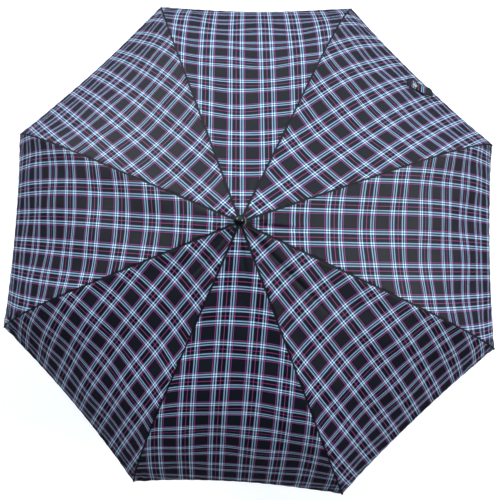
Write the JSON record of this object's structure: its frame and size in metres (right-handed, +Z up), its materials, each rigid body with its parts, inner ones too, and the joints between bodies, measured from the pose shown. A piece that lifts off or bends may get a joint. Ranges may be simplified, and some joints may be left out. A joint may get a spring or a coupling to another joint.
{
  "type": "stick umbrella",
  "caption": "Full-length stick umbrella, open: curved ribs and stretchers under a plaid domed canopy, runner on a steel shaft, short ferrule and crook handle.",
  "frame": {"origin": "middle of the grip, on the shaft's axis", "axes": "+Z up the shaft to the ferrule, +X toward the open end of the crook, +Y to the left of +X seen from above"},
  "size_m": [0.9928, 0.9928, 0.7918],
  "materials": {
    "plated_steel": "polished plating on the shaft tube and handle collar",
    "rib_steel": "black coated spring steel, satin",
    "wire_steel": "drawn wire",
    "catch_steel": "stamped spring steel",
    "black_plastic": "moulded, fine satin",
    "ferrule_plastic": "moulded, glossy",
    "handle_plastic": "moulded, glossy, faint mould line",
    "washer_plastic": "pale moulded washer",
    "tip_plastic": "moulded tips",
    "plaid_cloth": "fine plain-weave polyester, charcoal with blue and magenta plaid lines",
    "plain_cloth": "charcoal polyester",
    "stud_metal": "bright press stud"
  },
  "bodies": {
    "frame": {"shaft": "plated_steel", "ferrule": "ferrule_plastic", "cap_washer": "washer_plastic", "rosette": "plain_cloth", "notch": "black_plastic", "notch_wire": "wire_steel", "stop_pin": "wire_steel", "catch_pins": "wire_steel", "handle": "handle_plastic", "handle_collar": "plated_steel"},
    "runner": {"runner": "black_plastic", "runner_wire": "wire_steel"},
    "top_catch": {"top_catch": "catch_steel"},
    "bottom_catch": {"bottom_catch": "catch_steel"},
    "rib_1": {"rib_1": "rib_steel", "tip_1": "tip_plastic"},
    "stretcher_1": {"stretcher_1": "rib_steel"},
    "rib_2": {"rib_2": "rib_steel", "tip_2": "tip_plastic"},
    "stretcher_2": {"stretcher_2": "rib_steel"},
    "rib_3": {"rib_3": "rib_steel", "tip_3": "tip_plastic"},
    "stretcher_3": {"stretcher_3": "rib_steel"},
    "rib_4": {"rib_4": "rib_steel", "tip_4": "tip_plastic"},
    "stretcher_4": {"stretcher_4": "rib_steel"},
    "rib_5": {"rib_5": "rib_steel", "tip_5": "tip_plastic"},
    "stretcher_5": {"stretcher_5": "rib_steel"},
    "rib_6": {"rib_6": "rib_steel", "tip_6": "tip_plastic"},
    "stretcher_6": {"stretcher_6": "rib_steel"},
    "rib_7": {"rib_7": "rib_steel", "tip_7": "tip_plastic"},
    "stretcher_7": {"stretcher_7": "rib_steel"},
    "rib_8": {"rib_8": "rib_steel", "tip_8": "tip_plastic"},
    "stretcher_8": {"stretcher_8": "rib_steel"},
    "cloth_1a": {"panel_1a": "plaid_cloth"},
    "cloth_1b": {"panel_1b": "plaid_cloth", "tie_strap": "plaid_cloth", "stud_cap": "stud_metal", "stud_socket": "stud_metal"},
    "cloth_2a": {"panel_2a": "plaid_cloth"},
    "cloth_2b": {"panel_2b": "plaid_cloth"},
    "cloth_3a": {"panel_3a": "plaid_cloth"},
    "cloth_3b": {"panel_3b": "plaid_cloth"},
    "cloth_4a": {"panel_4a": "plaid_cloth"},
    "cloth_4b": {"panel_4b": "plaid_cloth"},
    "cloth_5a": {"panel_5a": "plaid_cloth"},
    "cloth_5b": {"panel_5b": "plaid_cloth"},
    "cloth_6a": {"panel_6a": "plaid_cloth"},
    "cloth_6b": {"panel_6b": "plaid_cloth"},
    "cloth_7a": {"panel_7a": "plaid_cloth"},
    "cloth_7b": {"panel_7b": "plaid_cloth"},
    "cloth_8a": {"panel_8a": "plaid_cloth"},
    "cloth_8b": {"panel_8b": "plaid_cloth"}
  },
  "joints": [
    {"name": "fold", "type": "hinge", "parent": "frame", "child": "rib_1", "pos_m": [0.00924, 0.00383, 0.675], "axis": [-0.3827, 0.9239, 0], "range_deg": [0, 68], "deforming": ["top_catch", "bottom_catch"]},
    {"name": "stretcher_1_hinge", "type": "hinge", "parent": "rib_1", "child": "stretcher_1", "pos_m": [0.2582, 0.10695, 0.62007], "axis": [-0.3827, 0.9239, 0], "range_deg": [-136.5, 0]},
    {"name": "rib_2_hinge", "type": "hinge", "parent": "frame", "child": "rib_2", "pos_m": [0.00383, 0.00924, 0.675], "axis": [-0.9239, 0.3827, 0], "range_deg": [0, 68]},
    {"name": "stretcher_2_hinge", "type": "hinge", "parent": "rib_2", "child": "stretcher_2", "pos_m": [0.10695, 0.2582, 0.62007], "axis": [-0.9239, 0.3827, 0], "range_deg": [-136.5, 0]},
    {"name": "rib_3_hinge", "type": "hinge", "parent": "frame", "child": "rib_3", "pos_m": [-0.00383, 0.00924, 0.675], "axis": [-0.9239, -0.3827, 0], "range_deg": [0, 68]},
    {"name": "stretcher_3_hinge", "type": "hinge", "parent": "rib_3", "child": "stretcher_3", "pos_m": [-0.10695, 0.2582, 0.62007], "axis": [-0.9239, -0.3827, 0], "range_deg": [-136.5, 0]},
    {"name": "rib_4_hinge", "type": "hinge", "parent": "frame", "child": "rib_4", "pos_m": [-0.00924, 0.00383, 0.675], "axis": [-0.3827, -0.9239, 0], "range_deg": [0, 68]},
    {"name": "stretcher_4_hinge", "type": "hinge", "parent": "rib_4", "child": "stretcher_4", "pos_m": [-0.2582, 0.10695, 0.62007], "axis": [-0.3827, -0.9239, 0], "range_deg": [-136.5, 0]},
    {"name": "rib_5_hinge", "type": "hinge", "parent": "frame", "child": "rib_5", "pos_m": [-0.00924, -0.00383, 0.675], "axis": [0.3827, -0.9239, 0], "range_deg": [0, 68]},
    {"name": "stretcher_5_hinge", "type": "hinge", "parent": "rib_5", "child": "stretcher_5", "pos_m": [-0.2582, -0.10695, 0.62007], "axis": [0.3827, -0.9239, 0], "range_deg": [-136.5, 0]},
    {"name": "rib_6_hinge", "type": "hinge", "parent": "frame", "child": "rib_6", "pos_m": [-0.00383, -0.00924, 0.675], "axis": [0.9239, -0.3827, 0], "range_deg": [0, 68]},
    {"name": "stretcher_6_hinge", "type": "hinge", "parent": "rib_6", "child": "stretcher_6", "pos_m": [-0.10695, -0.2582, 0.62007], "axis": [0.9239, -0.3827, 0], "range_deg": [-136.5, 0]},
    {"name": "rib_7_hinge", "type": "hinge", "parent": "frame", "child": "rib_7", "pos_m": [0.00383, -0.00924, 0.675], "axis": [0.9239, 0.3827, 0], "range_deg": [0, 68]},
    {"name": "stretcher_7_hinge", "type": "hinge", "parent": "rib_7", "child": "stretcher_7", "pos_m": [0.10695, -0.2582, 0.62007], "axis": [0.9239, 0.3827, 0], "range_deg": [-136.5, 0]},
    {"name": "rib_8_hinge", "type": "hinge", "parent": "frame", "child": "rib_8", "pos_m": [0.00924, -0.00383, 0.675], "axis": [0.3827, 0.9239, 0], "range_deg": [0, 68]},
    {"name": "stretcher_8_hinge", "type": "hinge", "parent": "rib_8", "child": "stretcher_8", "pos_m": [0.2582, -0.10695, 0.62007], "axis": [0.3827, 0.9239, 0], "range_deg": [-136.5, 0]},
    {"name": "runner_hinge", "type": "hinge", "parent": "stretcher_1", "child": "runner", "pos_m": [0.00924, 0.00383, 0.56515], "axis": [-0.3827, 0.9239, 0], "range_deg": [0, 68.5]},
    {"name": "gather_1a", "type": "slide", "parent": "rib_1", "child": "cloth_1a", "axis": [0.4556, -0.8609, 0.2265], "range_m": [0, 0.17241], "deforming": ["panel_1a"]},
    {"name": "gather_1b", "type": "slide", "parent": "rib_2", "child": "cloth_1b", "axis": [-0.8609, 0.4556, 0.2265], "range_m": [0, 0.17241], "deforming": ["panel_1b", "tie_strap"]},
    {"name": "gather_2a", "type": "slide", "parent": "rib_2", "child": "cloth_2a", "axis": [0.9309, -0.2865, 0.2265], "range_m": [0, 0.17241], "deforming": ["panel_2a"]},
    {"name": "gather_2b", "type": "slide", "parent": "rib_3", "child": "cloth_2b", "axis": [-0.9309, -0.2865, 0.2265], "range_m": [0, 0.17241], "deforming": ["panel_2b"]},
    {"name": "gather_3a", "type": "slide", "parent": "rib_3", "child": "cloth_3a", "axis": [0.8609, 0.4556, 0.2265], "range_m": [0, 0.17241], "deforming": ["panel_3a"]},
    {"name": "gather_3b", "type": "slide", "parent": "rib_4", "child": "cloth_3b", "axis": [-0.4556, -0.8609, 0.2265], "range_m": [0, 0.17241], "deforming": ["panel_3b"]},
    {"name": "gather_4a", "type": "slide", "parent": "rib_4", "child": "cloth_4a", "axis": [0.2865, 0.9309, 0.2265], "range_m": [0, 0.17241], "deforming": ["panel_4a"]},
    {"name": "gather_4b", "type": "slide", "parent": "rib_5", "child": "cloth_4b", "axis": [0.2865, -0.9309, 0.2265], "range_m": [0, 0.17241], "deforming": ["panel_4b"]},
    {"name": "gather_5a", "type": "slide", "parent": "rib_5", "child": "cloth_5a", "axis": [-0.4556, 0.8609, 0.2265], "range_m": [0, 0.17241], "deforming": ["panel_5a"]},
    {"name": "gather_5b", "type": "slide", "parent": "rib_6", "child": "cloth_5b", "axis": [0.8609, -0.4556, 0.2265], "range_m": [0, 0.17241], "deforming": ["panel_5b"]},
    {"name": "gather_6a", "type": "slide", "parent": "rib_6", "child": "cloth_6a", "axis": [-0.9309, 0.2865, 0.2265], "range_m": [0, 0.17241], "deforming": ["panel_6a"]},
    {"name": "gather_6b", "type": "slide", "parent": "rib_7", "child": "cloth_6b", "axis": [0.9309, 0.2865, 0.2265], "range_m": [0, 0.17241], "deforming": ["panel_6b"]},
    {"name": "gather_7a", "type": "slide", "parent": "rib_7", "child": "cloth_7a", "axis": [-0.8609, -0.4556, 0.2265], "range_m": [0, 0.17241], "deforming": ["panel_7a"]},
    {"name": "gather_7b", "type": "slide", "parent": "rib_8", "child": "cloth_7b", "axis": [0.4556, 0.8609, 0.2265], "range_m": [0, 0.17241], "deforming": ["panel_7b"]},
    {"name": "gather_8a", "type": "slide", "parent": "rib_8", "child": "cloth_8a", "axis": [-0.2865, -0.9309, 0.2265], "range_m": [0, 0.17241], "deforming": ["panel_8a"]},
    {"name": "gather_8b", "type": "slide", "parent": "rib_1", "child": "cloth_8b", "axis": [-0.2865, 0.9309, 0.2265], "range_m": [0, 0.17241], "deforming": ["panel_8b"]},
    {"name": "top_catch_press", "type": "hinge", "parent": "frame", "child": "top_catch", "pos_m": [0, -0.0022, 0.50885], "axis": [-1, 0, 0], "range_deg": [0, 8], "stiffness_Nm_per_rad": 0.05},
    {"name": "bottom_catch_press", "type": "hinge", "parent": "frame", "child": "bottom_catch", "pos_m": [0, -0.0022, 0.09365], "axis": [-1, 0, 0], "range_deg": [0, 8], "stiffness_Nm_per_rad": 0.05}
  ],
  "couplings": [
    {"joint": "stretcher_1_hinge", "follows": "fold", "ratio": -2},
    {"joint": "rib_2_hinge", "follows": "fold", "ratio": 1},
    {"joint": "stretcher_2_hinge", "follows": "fold", "ratio": -2},
    {"joint": "rib_3_hinge", "follows": "fold", "ratio": 1},
    {"joint": "stretcher_3_hinge", "follows": "fold", "ratio": -2},
    {"joint": "rib_4_hinge", "follows": "fold", "ratio": 1},
    {"joint": "stretcher_4_hinge", "follows": "fold", "ratio": -2},
    {"joint": "rib_5_hinge", "follows": "fold", "ratio": 1},
    {"joint": "stretcher_5_hinge", "follows": "fold", "ratio": -2},
    {"joint": "rib_6_hinge", "follows": "fold", "ratio": 1},
    {"joint": "stretcher_6_hinge", "follows": "fold", "ratio": -2},
    {"joint": "rib_7_hinge", "follows": "fold", "ratio": 1},
    {"joint": "stretcher_7_hinge", "follows": "fold", "ratio": -2},
    {"joint": "rib_8_hinge", "follows": "fold", "ratio": 1},
    {"joint": "stretcher_8_hinge", "follows": "fold", "ratio": -2},
    {"joint": "runner_hinge", "follows": "fold", "ratio": 1},
    {"joint": "gather_1a", "follows": "fold", "m_per_rad": 0.14485},
    {"joint": "gather_1b", "follows": "fold", "m_per_rad": 0.14485},
    {"joint": "gather_2a", "follows": "fold", "m_per_rad": 0.14485},
    {"joint": "gather_2b", "follows": "fold", "m_per_rad": 0.14485},
    {"joint": "gather_3a", "follows": "fold", "m_per_rad": 0.14485},
    {"joint": "gather_3b", "follows": "fold", "m_per_rad": 0.14485},
    {"joint": "gather_4a", "follows": "fold", "m_per_rad": 0.14485},
    {"joint": "gather_4b", "follows": "fold", "m_per_rad": 0.14485},
    {"joint": "gather_5a", "follows": "fold", "m_per_rad": 0.14485},
    {"joint": "gather_5b", "follows": "fold", "m_per_rad": 0.14485},
    {"joint": "gather_6a", "follows": "fold", "m_per_rad": 0.14485},
    {"joint": "gather_6b", "follows": "fold", "m_per_rad": 0.14485},
    {"joint": "gather_7a", "follows": "fold", "m_per_rad": 0.14485},
    {"joint": "gather_7b", "follows": "fold", "m_per_rad": 0.14485},
    {"joint": "gather_8a", "follows": "fold", "m_per_rad": 0.14485},
    {"joint": "gather_8b", "follows": "fold", "m_per_rad": 0.14485}
  ]
}
